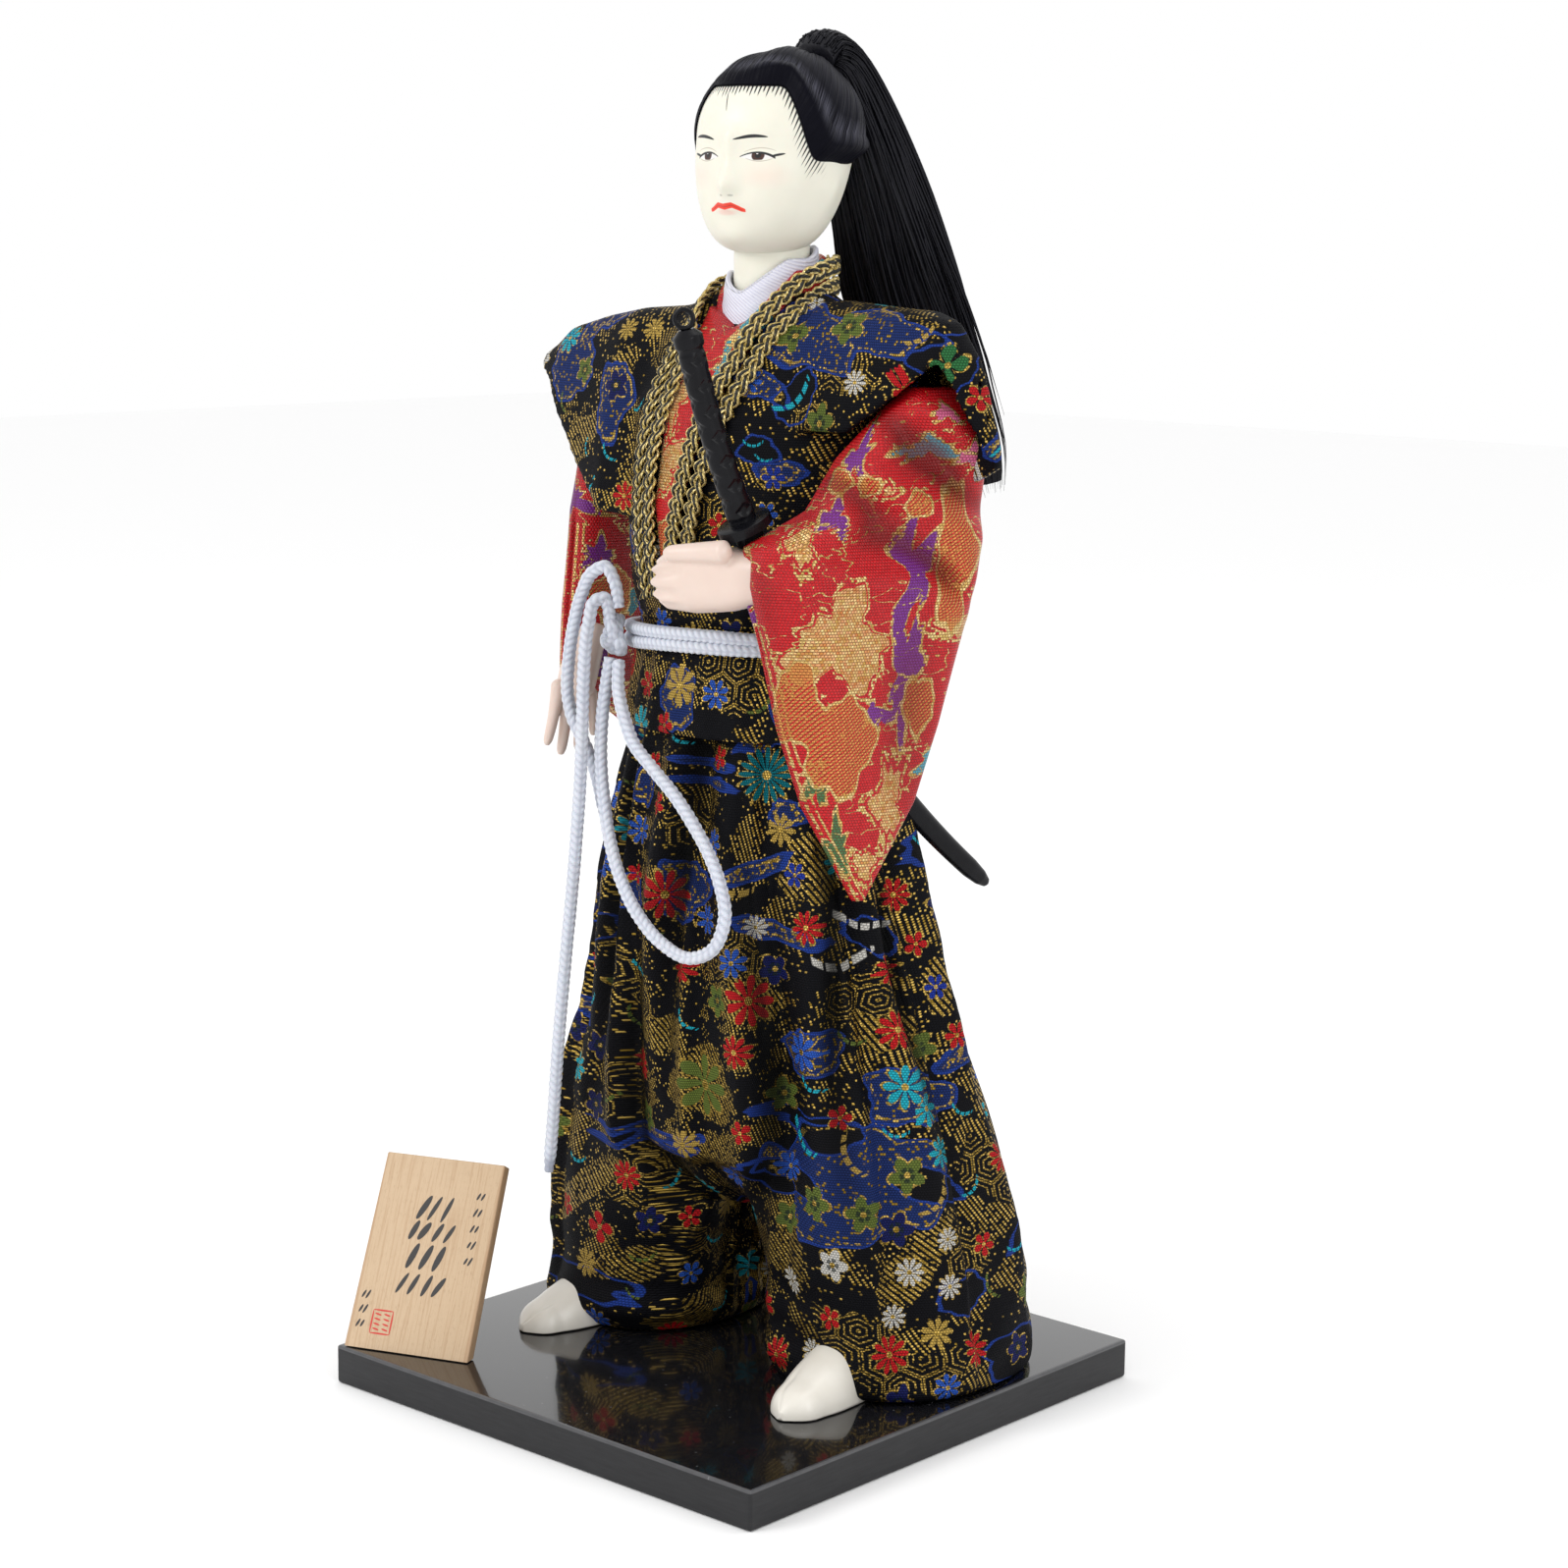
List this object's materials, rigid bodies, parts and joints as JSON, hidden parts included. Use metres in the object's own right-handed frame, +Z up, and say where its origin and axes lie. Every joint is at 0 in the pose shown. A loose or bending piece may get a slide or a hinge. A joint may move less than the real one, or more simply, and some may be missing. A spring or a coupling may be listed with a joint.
{
  "type": "samurai doll",
  "caption": "Standing samurai doll in brocade vest, red kimono and pleated trousers, with sword, ponytail and leaning wooden plaque, fixed on a square lacquered board.",
  "frame": {"origin": "middle of the underside of the square board", "axes": "+Z up through the doll, -Y the way its body faces, +X its own left hand side, both parallel to the sides of the board"},
  "size_m": [0.1384, 0.13, 0.3074],
  "materials": {
    "black_lacquer": "black lacquered board, glossy top",
    "plaque_wood": "pale straight-grained wood with ink marks",
    "sock_resin": "smooth off-white painted resin",
    "face_resin": "smooth ivory painted resin, satin",
    "hand_resin": "smooth pink resin, satin",
    "black_hair": "combed glossy black fibre",
    "dark_brocade": "black, blue and gold woven brocade",
    "red_brocade": "red and gold woven brocade",
    "white_cloth": "plain white ribbed cloth",
    "gold_plait": "plaited gold and black braid",
    "black_plastic": "moulded black plastic",
    "white_cord": "round plaited white cord"
  },
  "bodies": {
    "root": {"plinth": "black_lacquer", "name_plaque": "plaque_wood", "foot_left": "sock_resin", "foot_right": "sock_resin", "hakama": "dark_brocade", "vest": "dark_brocade", "kimono_collar": "red_brocade", "inner_collar": "white_cloth", "head": "face_resin", "hair_cap": "black_hair", "ponytail": "black_hair", "neck_trim": "gold_plait", "sleeve_left": "red_brocade", "sleeve_right": "red_brocade", "hand_left": "hand_resin", "hand_right": "hand_resin", "sword_hilt": "black_plastic", "scabbard": "black_plastic", "waist_cord": "white_cord", "cord_knot": "white_cord", "cord_loop": "white_cord", "cord_tail_long": "white_cord", "cord_tail_short": "white_cord"}
  },
  "joints": []
}
